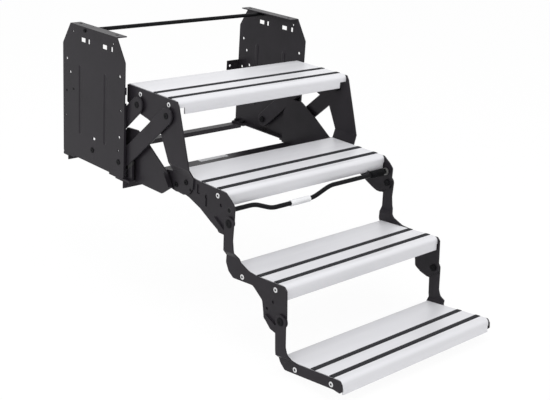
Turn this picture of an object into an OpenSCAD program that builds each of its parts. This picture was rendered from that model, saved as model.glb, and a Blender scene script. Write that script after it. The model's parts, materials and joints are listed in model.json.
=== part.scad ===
// Caravan pull out step with four treads.
// Seen from the caravan, X runs across the step, -Y is outward and +Z is up.
// The origin is the middle of the four floor bolts, on the top face of the housing.
// An outline is a list of [out, up, corner radius]: out is the distance outward and up the
// height from a point named beside it. Every part is drawn where it lies with the step out.

/* [Housing] */
// Width over the two side plates
housing_w = 645; // [640:1:680]
// Depth of a side plate, front to back
housing_d = 294; // [288:1:320]
// Height of a side plate
housing_h = 372; // [368:1:400]
// Distance of the front lower pivots behind a side plate's front edge
pivot_in = 25; // [21:1:27]
// Height of the lower pivots above a side plate's bottom edge
pivot_up = 40; // [38:1:46]
// Gap between a side plate's outer face and the end of the first tread
side_room = 22.5; // [22.5:0.5:30]
// Thickness of the side plates
sheet = 3; // [2:0.5:4]
// Width of the top flange that bolts to the floor
top_flange_w = 32; // [28:1:34]
// Width of the lip down the front edge
front_lip_w = 7; // [5:0.5:7]
// Width of that lip's foot, where the guide plates bolt on
lip_foot_w = 12; // [11:0.5:13]
// Width of the flange along the bottom edge
bottom_flange_w = 20; // [18:1:22]
// Front to back size of the cut-off upper corners
corner_d = 38; // [25:1:45]
// Height of the cut-off upper corners
corner_h = 60; // [40:1:65]
// Diameter of the floor bolt holes
floor_hole_d = 9; // [7:0.5:11]
// Distance of the floor bolts in from a side plate's outer face
floor_bolt_in = 18; // [16:0.5:20]
// Distance between the floor bolts, front to back
floor_bolt_y = 170; // [140:1:190]
// Width of the windows in the side plates
window_w = 22; // [10:1:26]
// Height of the windows in the side plates
window_h = 12; // [8:0.5:16]
// Width of the pressed ribs
rib_w = 16; // [12:1:24]
// Depth of the pressed ribs
rib_depth = 1.6; // [1:0.2:1.8]
// Length of the rear tabs, inward from a side plate
rear_tab_l = 48; // [40:1:56]
// Height of the rear tabs
rear_tab_h = 33; // [26:1:40]

/* [Cross members] */
// Front to back size of the front cross member
front_member_d = 37; // [24:1:40]
// Front to back size of the rear cross member
rear_member_d = 26; // [24:1:34]
// Height of the front cross member
member_h = 22; // [18:1:28]
// Height of the rear cross member
rear_member_h = 14; // [12:1:20]
// Wall of the cross members
member_wall = 3; // [2:0.5:4]
// Thickness of the end plates on the cross members
end_plate_t = 5; // [4.5:0.5:7]
// Length of the end plates past their cross member
end_plate_l = 30; // [28:1:40]
// Diameter of the bolts in the end plates
member_bolt_d = 8; // [6:1:8]
// Diameter of the top tie rod
tie_rod_d = 11; // [9:0.5:12]
// Diameter of the screws in the tie rod's ends
tie_screw_d = 5; // [4:0.5:5]

/* [Linkage] */
// Distance between the two pivots of a link
link_l = 255; // [253:1:256]
// Angle of the links above level when the step is out
link_rest = 42; // [41.5:0.25:42.5]
// Distance between the front and the rear links
link_gap = 124; // [120:1:126]
// Width of a link
link_w = 44; // [40:1:44]
// Thickness of a link
link_t = 8; // [5:0.5:8]
// Distance of the front link's upper pivot behind the first tread's nose
top_pivot_back = 30.5; // [29:0.5:32]
// Depth of the links' upper pivots under the first tread's top
top_pivot_drop = 44.4; // [44:0.2:46]
// Diameter of the link pivots
pivot_d = 12; // [10:0.5:12]
// Wall of the plastic bushes in the links
bush_wall = 2; // [1.5:0.25:3]
// Running clearance round every pivot, on the radius
pivot_play = 0.05; // [0.02:0.01:0.09]
// Clearance at the links' far pivots, on the radius
loose_play = 0.4; // [0.3:0.05:0.6]
// Gap at rest between parts that turn side by side
side_play = 0.3; // [0.2:0.05:0.4]
// Length of a rubber rest under a front link
rest_l = 20; // [14:1:24]
// Width of a rubber rest
rest_w = 7.5; // [6:0.5:8]
// Thickness of a rubber rest
rest_t = 12; // [8:1:16]

/* [Treads] */
// Depth of a tread, rear edge to nose
tread_d = 205; // [200:1:210]
// Thickness of a tread
tread_t = 20; // [18:0.5:21]
// Height of the front lip under the nose
lip_h = 37; // [30:0.5:38]
// Thickness of the front lip
lip_t = 5; // [4:0.5:6]
// How far the first tread's lip stops short of each end
lip_gap = 23; // [22:1:34]
// How far the lips of the lower treads stop short of each end
lower_lip_gap = 3; // [2:0.5:6]
// Wall of the tread extrusion
tread_wall = 2.2; // [1.8:0.1:2.6]
// Radius of the nose
nose_r = 12; // [8:0.5:12.5]
// Distance of the rear grip strip's middle from the rear edge
strip_a = 111; // [100:1:120]
// Distance of the front grip strip's middle from the rear edge
strip_b = 171.5; // [165:0.5:178]
// Width of a grip strip
strip_w = 16; // [10:0.5:18]
// Height of a grip strip above the tread
strip_proud = 1; // [0.5:0.1:1.2]
// Depth of the grooves that hold the strips
groove_depth = 1.6; // [1:0.1:1.8]
// Distance of the rear end screw from the rear edge
screw_a = 53; // [50:1:56]
// Distance of the front end screw from the rear edge
screw_b = 172.5; // [170:0.5:175]
// Depth of the end screws under the tread's top
screw_drop = 17.5; // [15.5:0.5:18]
// Diameter of the end screws
screw_d = 6; // [5:0.5:6]
// Diameter of the end screws' heads
screw_head_d = 14; // [12:0.5:15]

/* [Step spacing] */
// How far the second tread reaches back under the first
overlap_2 = 21; // [20:0.5:22]
// Height between the first and second treads
rise_2 = 187; // [186:0.5:189]
// Distance of the third tread's rear edge ahead of the second tread's nose
ahead_3 = 12.6; // [12:0.2:13.4]
// Height from the second tread down to the third tread's rear edge
rise_3 = 186; // [185:0.5:187]
// Tilt of the third tread, nose up
pitch_3 = 5; // [4.5:0.1:5.2]
// How far the fourth tread reaches back under the third
overlap_4 = 23.2; // [22.6:0.2:24]
// Height from the third tread down to the fourth tread's rear edge
rise_4 = 187.4; // [187:0.1:188]
// Tilt of the fourth tread against the third, nose up
pitch_4 = 2.65; // [2.3:0.05:2.9]

/* [Brackets and fold joints] */
// Thickness of the brackets, arms and guide plates
bracket_t = 4; // [3.5:0.1:4]
// Gap between brackets that swing past each other
slide_gap = 1; // [0.8:0.1:1.2]
// Gap on each side of the guide plates
guide_gap = 1.75; // [1.5:0.05:2]
// Depth of the brackets under the third and fourth treads
bracket_depth = 28; // [26:0.5:28]
// Distance of the third step's pivot ahead of the second tread's nose
fold_3_ahead = 19; // [18.5:0.25:19.5]
// Depth of the third step's pivot under the second tread
fold_3_drop = 73.5; // [73:0.25:74]
// Distance of the fourth step's pivot behind the third tread's nose
fold_4_back = 10; // [9.5:0.25:10.5]
// Depth of the fourth step's pivot under the third tread
fold_4_drop = 90; // [89.75:0.25:90.5]
// Diameter of the fold pivots
fold_pin_d = 12; // [10:0.5:12]
// Radius of the arms' round ends at the fold pivots
arm_r = 17.5; // [16:0.5:18]
// Gap between an arm and its stop when the step is out
stop_gap = 0.4; // [0.3:0.05:0.5]

/* [Pull handle] */
// Diameter of the handle's bar
bar_d = 12; // [10:0.5:12]
// Distance of the handle's pivot ahead of the second tread's nose
handle_ahead = 13; // [12:0.5:14]
// Depth of the handle's pivot under the second tread
handle_drop = 42; // [40:0.5:44]
// How far the held part of the bar hangs below its pivot
handle_dip = 22; // [16:1:28]
// Distance of the held part's left end from the middle
held_left = 145; // [130:1:160]
// Width of the slopes at both ends of the held part
slope_w = 60; // [40:1:60]
// Length of the grip
grip_l = 68; // [56:1:90]
// Outside diameter of the grip
grip_d = 17; // [15:0.5:19]
// Turns of the handle's return spring
spring_turns = 12; // [8:1:14]
// Wire of the handle's return spring
spring_wire = 3; // [2:0.25:3]

/* [Hidden] */
$fn = 48;
e = 0.5;                  // how far a cutter runs past a face
paint = [0.21, 0.20, 0.21];
black = [0.09, 0.09, 0.09];
silver = [0.86, 0.87, 0.88];
zinc = [0.70, 0.71, 0.73];
strip_grey = [0.24, 0.24, 0.26];
grip_grey = [0.66, 0.67, 0.69];

// Pivots of the linkage
top_pivot = [tread_d - top_pivot_back, -top_pivot_drop];
low_pivot = top_pivot - link_l * [cos(link_rest), sin(link_rest)];
back_by = [-link_gap, 0];

// Edges of the housing, out from and above the first tread's rear top edge
housing_front = low_pivot[0] + pivot_in;
rear_out = housing_front - housing_d;
low_up = low_pivot[1] - pivot_up;
housing_top = low_up + housing_h;
mid_out = (housing_front + rear_out) / 2;
plate_x = housing_w / 2 - sheet;              // inner face of a side plate
floor_bolt_x = housing_w - 2 * floor_bolt_in;
first_w = housing_w - 2 * side_room;

// Inner faces of the parts on one side, from the links inward to the fourth bracket
first_x = first_w / 2;
link_x = first_x + bracket_t + slide_gap;
guide_x = first_x - guide_gap - bracket_t;
arm_3_x = guide_x - guide_gap - bracket_t;
second_x = arm_3_x - slide_gap - bracket_t;
third_x = second_x - slide_gap - bracket_t;
fourth_x = third_x - slide_gap - bracket_t;
foot_x = second_x + bracket_t;
arm_4_x = third_x + bracket_t + slide_gap;

// Places of the lower treads and of the fold joints, each from the tread above
second_at = [tread_d - overlap_2, -rise_2];
third_at = [tread_d + ahead_3, -rise_3];
fourth_at = [tread_d - overlap_4, -rise_4];
fold_3 = [tread_d + fold_3_ahead, -fold_3_drop];
fold_4 = [tread_d - fold_4_back, -fold_4_drop];
// The same pivots, seen from the tread that folds
arm_3 = into(fold_3 - third_at, pitch_3);
arm_4 = into(fold_4 - fourth_at, pitch_4);
handle_at = [tread_d + handle_ahead, -handle_drop];

// Fixed details
edge = 2;                 // a bracket's top edge lies this far under its tread's top
head_t = 2.1;             // height of the low bolt heads between brackets
thin_head = 0.9;          // height of the flat heads on the fold pins
flat_head = 1.2;          // height of the flat heads on the upper pivots
flat_head_d = 17;
peened_d = 15;            // diameter of the lower pivots' heads outside the side plates
peened_t = 2;
thin_nut = 5;
seat = 2;                 // depth of the seats for the end screws' heads
proud = 0.4;              // how far the end screws' heads stand out
screw_l = 28;
boss_r = 5.2;
press = 2.5;              // depth of the recesses in the second and third brackets
rest_gap = 0.3;           // between a front link and its rest
member_up = low_up - end_plate_t;             // top of the cross members
member_bolt_x = plate_x - 8;
low_head = 1.5;           // height of the low heads under the cross members
member_nut_h = 6;
front_member = [housing_front - front_member_d, housing_front];
rear_member = [rear_out, rear_out + rear_member_d];
front_bolts = [front_member[0] - 18, front_member[0] + 11.5];
rear_bolts = [rear_member[1] - 12, rear_member[1] + 18];
tie_rod_at = [rear_out + 109, housing_top - sheet - tie_rod_d / 2 - 0.5];
lip_foot_up = low_up + 26;                    // top of the lip's foot
guide_bolts = [low_up + 10.5, low_up + 20.5];
guide_bolt_x = plate_x - 4;
guide_bolt_d = 4;
guide_head_d = 6.6;
guide_flange_t = 3;
rest_out = housing_front + 4;
// Bolts and a hole in the second bracket, from the second tread's rear top edge
foot_bolt = [14, -34];
foot_hole = [72, -32];
// Holes in a side plate: in from its rear or front edge, then down from its top
wide_rear = [[19, 101], [36, 136], [52, 180], [18, 191]];
wide_front = [[23, 100], [23, 263]];
narrow_rear = [[12, 263], [50, 21]];
narrow_front = [[18, 190], [55, 21], [27, 301]];
window_rear = [100, 36];
window_front = [93, 36];
slot_rear = [127, 36];
slot_front = [60, 36];
slot_size = [9, 13];
rib_outs = [rear_out + 85, housing_front - 89];
rib_ups = [low_up + 70, housing_top - 107];
rear_tab_up = housing_top - 172;
// Lips down the front edge, up from the bottom edge
front_lips = [[6, 205], [228, 247]];

// Outlines and placing

function unit(v) = v / norm(v);
function flat(p) = [p[0], p[1]];
function nearest_turn(a) = a > 180 ? a - 360 : a < -180 ? a + 360 : a;
// A direction or place seen in a frame that is tilted nose up by a
function into(v, a) = [v[0] * cos(a) + v[1] * sin(a), -v[0] * sin(a) + v[1] * cos(a)];
// Points of an outline, moved by a place
function moved(place, pts) = [for (p = pts) [place[0] + p[0], place[1] + p[1], p[2]]];

// Points of one rounded corner b between its neighbours a and c
function corner(a, b, c, r) =
  r == 0 ? [b] :
  let(u = unit(a - b), v = unit(c - b))
  let(half = acos(max(-1, min(1, u * v))) / 2)
  let(mid = b + unit(u + v) * r / sin(half))
  let(p = b + u * r / tan(half), q = b + v * r / tan(half))
  let(t0 = atan2(p[1] - mid[1], p[0] - mid[0]))
  let(t1 = t0 + nearest_turn(atan2(q[1] - mid[1], q[0] - mid[0]) - t0))
  let(n = max(2, ceil(abs(t1 - t0) / 15)))
  [for (i = [0 : n]) let(t = t0 + (t1 - t0) * i / n) mid + r * [cos(t), sin(t)]];

// A closed outline with its corners rounded
function outline(pts) =
  let(n = len(pts))
  [for (i = [0 : n - 1])
    each corner(flat(pts[(i + n - 1) % n]), flat(pts[i]), flat(pts[(i + 1) % n]), pts[i][2])];

// The outline as a flat shape, drawn in Y and Z
module shape(pts) polygon([for (p = outline(pts)) [-p[0], p[1]]]);

// A flat shape stood across X from x, t thick
module across(x, t) translate([x, 0, 0]) rotate([90, 0, 90]) linear_extrude(t) children();

// A plate across X with a rounded outline
module plate(x, t, pts) across(x, t) shape(pts);

// A round bar, hole or pin along X
module rod(x, l, at, d)
  translate([x, -at[0], at[1]]) rotate([0, 90, 0]) cylinder(h = l, d = d);

// A ring along X
module ring(x, t, at, outer, bore)
  difference() {
    rod(x, t, at, outer);
    rod(x - e, t + 2 * e, at, bore);
  }

// A hexagon nut along X
module nut(x, t, at, flats, bore)
  difference() {
    translate([x, -at[0], at[1]]) rotate([0, 90, 0])
      cylinder(h = t, d = flats / cos(30), $fn = 6);
    rod(x - e, t + 2 * e, at, bore);
  }

// A block given by its limits across, out and up
module block(x, out, up)
  translate([x[0], -out[1], up[0]]) cube([x[1] - x[0], out[1] - out[0], up[1] - up[0]]);

// Keeps of its children what lies in a sheet bent across X. Each level is [inner face, up].
module bent(levels) {
  inner = [for (p = levels) p];
  outer = [for (i = [len(levels) - 1 : -1 : 0]) [levels[i][0] + bracket_t, levels[i][1]]];
  intersection() {
    children();
    translate([0, 600, 0]) rotate([90, 0, 0]) linear_extrude(1200)
      polygon(concat(inner, outer));
  }
}

// Draws a right hand part on the chosen side: 1 is right, -1 is left
module hand(side) mirror([side < 0 ? 1 : 0, 0, 0]) children();
module both() for (side = [-1, 1]) hand(side) children();
// Puts the first tread's rear top edge where it lies from the origin
module datum() translate([0, mid_out, -housing_top]) children();
// Frames of the lower treads: out and up run along and square to each tread
module tilted(at, pitch) translate([0, -at[0], at[1]]) rotate([-pitch, 0, 0]) children();
module on_second() datum() tilted(second_at, 0) children();
module on_third() on_second() tilted(third_at, pitch_3) children();
module on_fourth() on_third() tilted(fourth_at, pitch_4) children();

// Housing

module side_plate(side)
  color(paint) datum() hand(side) difference() {
    union() {
      plate(plate_x, sheet, [
        [rear_out, low_up, 6], [rear_out, housing_top - corner_h, 8],
        [rear_out + corner_d, housing_top, 0], [housing_front - corner_d, housing_top, 0],
        [housing_front, housing_top - corner_h, 8], [housing_front, low_up, 6]]);
      block([plate_x + sheet - top_flange_w, plate_x + 1],
            [rear_out + corner_d, housing_front - corner_d], [housing_top - sheet, housing_top]);
      block([plate_x + sheet - bottom_flange_w, plate_x + 1],
            [rear_out + 6, housing_front - 6], [low_up, low_up + sheet]);
      for (up = front_lips)
        block([plate_x + sheet - front_lip_w, plate_x + 1],
              [housing_front - sheet, housing_front], [low_up + up[0], low_up + up[1]]);
      block([plate_x + sheet - lip_foot_w, plate_x + 1],
            [housing_front - sheet, housing_front], [low_up + front_lips[0][0], lip_foot_up]);
      block([plate_x - rear_tab_l, plate_x + 1], [rear_out, rear_out + sheet],
            [rear_tab_up - rear_tab_h, rear_tab_up]);
      for (out = rib_outs) plate(plate_x - rib_depth, rib_depth + 1, rib(out, rib_w));
    }
    for (out = rib_outs) plate(plate_x + sheet - rib_depth, rib_depth + 1, rib(out, rib_w - 3));
    for (p = wide_rear) through_plate(from_rear(p), 8.5);
    for (p = wide_front) through_plate(from_front(p), 8.5);
    for (p = narrow_rear) through_plate(from_rear(p), 6);
    for (p = narrow_front) through_plate(from_front(p), 6);
    through_plate(tie_rod_at, tie_screw_d);
    for (place = [[0, 0], back_by]) through_plate(low_pivot + place, pivot_d);
    for (at = [from_rear(window_rear), from_front(window_front)])
      cut_plate(at, [window_w, window_h]);
    for (at = [from_rear(slot_rear), from_front(slot_front)]) cut_plate(at, slot_size);
    cut_plate(from_rear([153, 298]), [12, 8]);
    translate([plate_x - rear_tab_l + 12, -rear_out + e, rear_tab_up - rear_tab_h / 2])
      rotate([90, 0, 0]) cylinder(h = sheet + 2 * e, d = 8.5);
    for (s = [-1, 1])
      translate([floor_bolt_x / 2, -mid_out + s * floor_bolt_y / 2, housing_top - sheet - e])
        cylinder(h = sheet + 2 * e, d = floor_hole_d);
    for (out = concat(front_bolts, rear_bolts))
      translate([member_bolt_x, -out, low_up - e]) cylinder(h = sheet + 2 * e, d = member_bolt_d);
    for (up = guide_bolts) along_y(guide_bolt_x, [housing_front - sheet - e, housing_front + e],
                                   up, guide_bolt_d);
  }

function rib(out, w) =
  [[out - w / 2, rib_ups[0], w / 2.2], [out - w / 2, rib_ups[1], w / 2.2],
   [out + w / 2, rib_ups[1], w / 2.2], [out + w / 2, rib_ups[0], w / 2.2]];

function from_rear(p) = [rear_out + p[0], housing_top - p[1]];
function from_front(p) = [housing_front - p[0], housing_top - p[1]];
module through_plate(at, d) rod(plate_x - 3, sheet + 6, at, d);
module cut_plate(at, size)
  block([plate_x - 3, plate_x + sheet + 3], [at[0] - size[0] / 2, at[0] + size[0] / 2],
        [at[1] - size[1] / 2, at[1] + size[1] / 2]);
// A round bar or hole along Y between two distances out
module along_y(x, out, up, d)
  translate([x, -out[0], up]) rotate([90, 0, 0]) cylinder(h = out[1] - out[0], d = d);

module top_tie_rod()
  color(black) datum() difference() {
    rod(-plate_x, 2 * plate_x, tie_rod_at, tie_rod_d);
    for (x = [-plate_x - e, plate_x - 18]) rod(x, 18 + e, tie_rod_at, tie_screw_d);
  }

module tie_rod_screws()
  color(black) datum() both() {
    rod(plate_x - 15, 15 + sheet + 1, tie_rod_at, tie_screw_d);
    rod(plate_x + sheet, 3, tie_rod_at, 2 * tie_screw_d);
  }

// An angle across the step with an end plate on each end that bolts under the side plates
module cross_member(out, plate_out, h)
  difference() {
    union() {
      across(-plate_x - sheet, 2 * (plate_x + sheet)) shape([
        [out[0], member_up, 0], [out[1], member_up, 0], [out[1], member_up - h, 0],
        [out[1] - member_wall, member_up - h, 0],
        [out[1] - member_wall, member_up - member_wall, 0], [out[0], member_up - member_wall, 0]]);
      both() block([link_x - slide_gap, plate_x + sheet], plate_out, [member_up, low_up]);
    }
    children();
  }

module member_holes(outs)
  both() for (out = outs)
    translate([member_bolt_x, -out, member_up - member_h]) cylinder(h = 60, d = member_bolt_d);

module front_cross_member()
  color(paint) datum() cross_member(
    front_member, [front_member[0] - end_plate_l, rest_out + rest_l + 2], member_h)
    member_holes(front_bolts);

module rear_cross_member()
  color(paint) datum() cross_member(
    rear_member, [rear_member[0], rear_member[1] + end_plate_l], rear_member_h)
    member_holes(rear_bolts);

// Underside of the steel at a bolt: under the angle's web, or under the bare end plate
function underside(out) =
  (out > front_member[0] && out < front_member[1]) || (out > rear_member[0] && out < rear_member[1])
  ? member_up - member_wall : member_up;

module cross_member_bolts()
  color(black) datum() both() for (out = concat(front_bolts, rear_bolts)) {
    top = low_up + sheet + member_nut_h + 1;
    translate([member_bolt_x, -out, underside(out)]) {
      translate([0, 0, -low_head]) cylinder(h = low_head, d = 1.75 * member_bolt_d);
      translate([0, 0, -0.5]) cylinder(h = top - underside(out) + 0.5, d = member_bolt_d);
    }
  }

module cross_member_nuts()
  color(black) datum() both() for (out = concat(front_bolts, rear_bolts))
    translate([member_bolt_x, -out, low_up + sheet]) difference() {
      cylinder(h = member_nut_h, d = 1.6 * member_bolt_d / cos(30), $fn = 6);
      translate([0, 0, -e]) cylinder(h = member_nut_h + 2 * e, d = member_bolt_d);
    }

// Guide plates steady the step sideways. They stand on the front cross member. Their rear
// corner is cut away, because the bend of the upper bracket passes over it.
guide_back = housing_front - 46;
guide_nose = [tread_d - 40, low_up + 58];

module guide_plate(side)
  color(paint) datum() hand(side) difference() {
    union() {
      plate(guide_x, bracket_t, [
        [guide_back, member_up, 0], [guide_back, low_up + 92, 8],
        [housing_front - 20, low_up + 134, 8], [housing_front + 26, low_up + 137, 6],
        [housing_front + 71, low_up + 114, 10],
        [guide_nose[0], guide_nose[1], 4],
        [guide_nose[0] + 23, guide_nose[1] - 34, 6], [guide_nose[0] - 18, member_up, 10]]);
      plate(guide_x + 1, bracket_t + 9, [
        [guide_nose[0] - 3, guide_nose[1] + 1, 0], [guide_nose[0], guide_nose[1], 0],
        [guide_nose[0] + 22, guide_nose[1] - 32.5, 0], [guide_nose[0] + 19, guide_nose[1] - 34, 0]]);
      block([guide_x + 1, plate_x - 0.5], [housing_front, housing_front + guide_flange_t],
            [low_up + 1, lip_foot_up]);
    }
    for (up = guide_bolts) along_y(
      guide_bolt_x, [housing_front - e, housing_front + guide_flange_t + e], up, guide_bolt_d);
  }

module guide_plate_bolts()
  color(black) datum() both() for (up = guide_bolts) {
    front = housing_front + guide_flange_t;
    back = housing_front - sheet;
    along_y(guide_bolt_x, [back - 2, front + 1], up, guide_bolt_d);
    along_y(guide_bolt_x, [front, front + 2.8], up, guide_head_d);
    along_y(guide_bolt_x, [back - 3, back], up, guide_head_d);
  }

// Rests under the front links, which hold the step at its full reach
function link_under(out) =
  low_pivot[1] + (out - low_pivot[0]) * tan(link_rest) - (link_w / 2 + rest_gap) / cos(link_rest);

module rest_posts()
  color(paint) datum() both() plate(link_x - slide_gap + 0.5, rest_w, [
    [rest_out, low_up, 0], [rest_out, link_under(rest_out) - rest_t, 0],
    [rest_out + rest_l, link_under(rest_out + rest_l) - rest_t, 0], [rest_out + rest_l, low_up, 0]]);

module rubber_rests()
  color(black) datum() both() plate(link_x - slide_gap + 0.5, rest_w, [
    [rest_out, link_under(rest_out) - rest_t, 0], [rest_out, link_under(rest_out), 0],
    [rest_out + rest_l, link_under(rest_out + rest_l), 0],
    [rest_out + rest_l, link_under(rest_out + rest_l) - rest_t, 0]]);

// Linkage

module lower_pivot_bolts()
  color(black) datum() both() for (place = [[0, 0], back_by]) {
    at = low_pivot + place;
    rod(link_x - side_play - thin_nut, plate_x + sheet - link_x + side_play + thin_nut + 1,
        at, pivot_d);
    rod(plate_x + sheet, peened_t, at, peened_d);
  }

module lower_pivot_spacers()
  color(zinc) datum() both() for (place = [[0, 0], back_by])
    ring(link_x + link_t + side_play, plate_x - link_x - link_t - side_play,
         low_pivot + place, 2 * pivot_d, pivot_d);

module lower_pivot_nuts()
  color(black) datum() both() for (place = [[0, 0], back_by])
    nut(link_x - side_play - thin_nut, thin_nut, low_pivot + place, 1.5 * pivot_d, pivot_d);

// A link runs from its lower pivot at the origin, outward and up at its rest angle
module link(side, place)
  color(paint) datum() hand(side) tilted(low_pivot + place, link_rest) difference() {
    union() {
      for (at = [[0, 0], [link_l, 0]]) rod(link_x, link_t, at, link_w);
      block([link_x, link_x + link_t], [0, link_l], [-link_w / 2, link_w / 2]);
    }
    for (at = [[0, 0], [link_l, 0]])
      rod(link_x - e, link_t + 2 * e, at, pivot_d + 2 * (pivot_play + bush_wall));
  }

// Plastic bushes pressed into the links, with a bore for each end
module link_bushes(place, top_play)
  color(black) datum() both() tilted(low_pivot + place, link_rest)
    for (end = [[0, pivot_play], [link_l, top_play]])
      ring(link_x, link_t, [end[0], 0],
           pivot_d + 2 * (pivot_play + bush_wall), pivot_d + 2 * end[1]);

module upper_pivot_bolts()
  color(black) datum() both() for (place = [[0, 0], back_by]) {
    at = top_pivot + place;
    rod(first_x - thin_nut, link_x + link_t + side_play + flat_head - first_x + thin_nut,
        at, pivot_d);
    rod(link_x + link_t + side_play, flat_head, at, flat_head_d);
  }

module upper_pivot_washers()
  color(zinc) datum() both() for (place = [[0, 0], back_by])
    ring(first_x + bracket_t, slide_gap - side_play, top_pivot + place, 2 * pivot_d, pivot_d);

module upper_pivot_nuts()
  color(black) datum() both() for (place = [[0, 0], back_by])
    nut(first_x - thin_nut, thin_nut, top_pivot + place, 1.5 * pivot_d, pivot_d);

// Brackets of the first two treads

upper_foot = [tread_d - 17, -rise_2 - 1];     // where the foot starts, under the bend

module upper_bracket(side)
  color(paint) datum() hand(side) {
    difference() {
      bent([[first_x, 0], [first_x, upper_foot[1] + 23], [foot_x, upper_foot[1]],
            [foot_x, upper_foot[1] - 60]])
        plate(foot_x - 1, first_x - foot_x + bracket_t + 2, concat(
          [[-bracket_t, -edge, 3], [tread_d, -edge, 4], [tread_d + 8, -14, 4],
           [tread_d + 23, -61, 30], [tread_d + 35, -98, 30], [tread_d + 56, upper_foot[1] + 23, 10]],
          moved(upper_foot, [
            [78, 0, 6], [76, -27, 8], [62, -45, 8], [40, -52, 12], [10, -50, 8], [-4, -36, 6],
            [-6, 0, 8], [-10, 23, 10]]),
          [[tread_d - 61, -98, 20], [115, -84, 12], [91, -75, 12], [41, -66, 20],
           [-bracket_t, -48, 3]]));
      for (place = [[0, 0], back_by])
        rod(first_x - e, bracket_t + 2 * e, top_pivot + place, pivot_d);
      for (out = [screw_a, screw_b]) screw_hole(first_x, out);
      tilted(second_at, 0) {
        rod(foot_x - e, bracket_t + 2 * e, [screw_a, -screw_drop], screw_d);
        rod(foot_x - e, bracket_t + 2 * e, foot_bolt, 8);
        rod(foot_x - e, bracket_t + 2 * e, foot_hole, 8);
      }
    }
    block([first_x - 16, first_x + 0.01], [-bracket_t, 0], [-44, -edge]);
  }

// A seated hole for an end screw, in a bracket whose inner face lies at x
module screw_hole(x, out) {
  rod(x - e, bracket_t + 2 * e, [out, -screw_drop], screw_d);
  rod(x + bracket_t - seat, seat + e, [out, -screw_drop], screw_head_d + 0.4);
}

// The end screws of a tread in a bracket whose inner face lies at x
module end_screw(x, out)
  difference() {
    union() {
      rod(x + bracket_t - seat, seat + proud, [out, -screw_drop], screw_head_d);
      rod(x + bracket_t - screw_l, screw_l - seat + 1, [out, -screw_drop], screw_d);
    }
    translate([x + bracket_t + proud - 1.5, -out, -screw_drop]) rotate([0, 90, 0])
      cylinder(h = 2, d = 5 / cos(30), $fn = 6);
  }

// Edge of the folding arm that meets its stop, seen from the tread above
function arm_edge(at, pitch, p) = at + into(p, -pitch);
arm_3_back = [-1.3, arm_3[1]];
arm_3_low = [-4.8, 43];
arm_4_back = [arm_4[0] - arm_r - 0.6, arm_4[1] - 12];
arm_4_low = [-3, 20];
stop_3_top = arm_edge(third_at, pitch_3, arm_3_back + (arm_3_low - arm_3_back) * 0.30);
stop_3_low = arm_edge(third_at, pitch_3, arm_3_back + (arm_3_low - arm_3_back) * 0.47);
stop_4_top = arm_edge(fourth_at, pitch_4, arm_4_back + (arm_4_low - arm_4_back) * 0.03);
stop_4_low = arm_edge(fourth_at, pitch_4, arm_4_back + (arm_4_low - arm_4_back) * 0.32);

module second_bracket(side)
  color(paint) on_second() hand(side) {
    difference() {
      union() {
        plate(second_x, bracket_t, concat(
          [[0, -edge, 4], [tread_d - 3, -edge, 4], [tread_d + 18, -16, 6], [tread_d + 32, -29, 8]],
          moved(fold_3, [
            [13, 0, 6], [8, -16, 6], [-8, -23, 6], [-22, -34, 3], [-36, -34, 6], [-50, -29.5, 10],
            [-72, -19.5, 12], [-117, 3.5, 20]]),
          [[62, -55, 20], [40, -51, 10], [8, -55, 8], [-18, -51, 10], [-37, -8, 6]]));
        plate(second_x + bracket_t - e, bracket_t + slide_gap + e, stop_3());
      }
      rod(second_x - e, bracket_t + 2 * e, fold_3, fold_pin_d);
      rod(second_x - e, bracket_t + 2 * e, handle_at, bar_d + 4);
      rod(second_x - e, bracket_t + 2 * e, [screw_a, -screw_drop], screw_d);
      screw_hole(second_x, screw_b);
      for (at = [foot_bolt, foot_hole]) rod(second_x - e, bracket_t + 2 * e, at, 8);
      // Pressed recesses, open to the outside only
      block([foot_x - press, foot_x + e], [93, 105], [-35, -10]);
      for (at = [[131, -34], [187, -38]]) rod(foot_x - press, press + e, at, at[0] < 150 ? 13 : 9);
      block([foot_x - press, foot_x + e], [127.5, 134.5], [-58, -34]);
    }
  }

// The tab that a folding arm comes to rest against
function stop_3() = [
  [stop_3_top[0] - stop_gap, stop_3_top[1], 0], [stop_3_low[0] - stop_gap, stop_3_low[1], 0],
  [stop_3_low[0] - 19, stop_3_low[1], 4], [stop_3_top[0] - 46, stop_3_top[1] + 16, 2],
  [stop_3_top[0] - 40, stop_3_top[1] + 23, 2]];
function stop_4() = [
  [stop_4_top[0] - stop_gap, stop_4_top[1], 0], [stop_4_low[0] - stop_gap, stop_4_low[1], 0],
  [stop_4_low[0] - 18, stop_4_low[1] + 5, 4], [stop_4_top[0] - 42, stop_4_top[1] + 11, 2],
  [stop_4_top[0] - 36, stop_4_top[1] + 19, 2]];

module frame_bolts()
  color(black) on_second() both() {
    rod(second_x - thin_nut, 2 * bracket_t + thin_nut + 1, foot_bolt, 8);
    rod(foot_x + bracket_t, head_t, foot_bolt, 14);
  }

module frame_nuts()
  color(black) on_second() both() nut(second_x - thin_nut, thin_nut, foot_bolt, 13, 8);

// Treads: hollow extrusions with a lip under the nose and grooves for the grip strips

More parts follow.
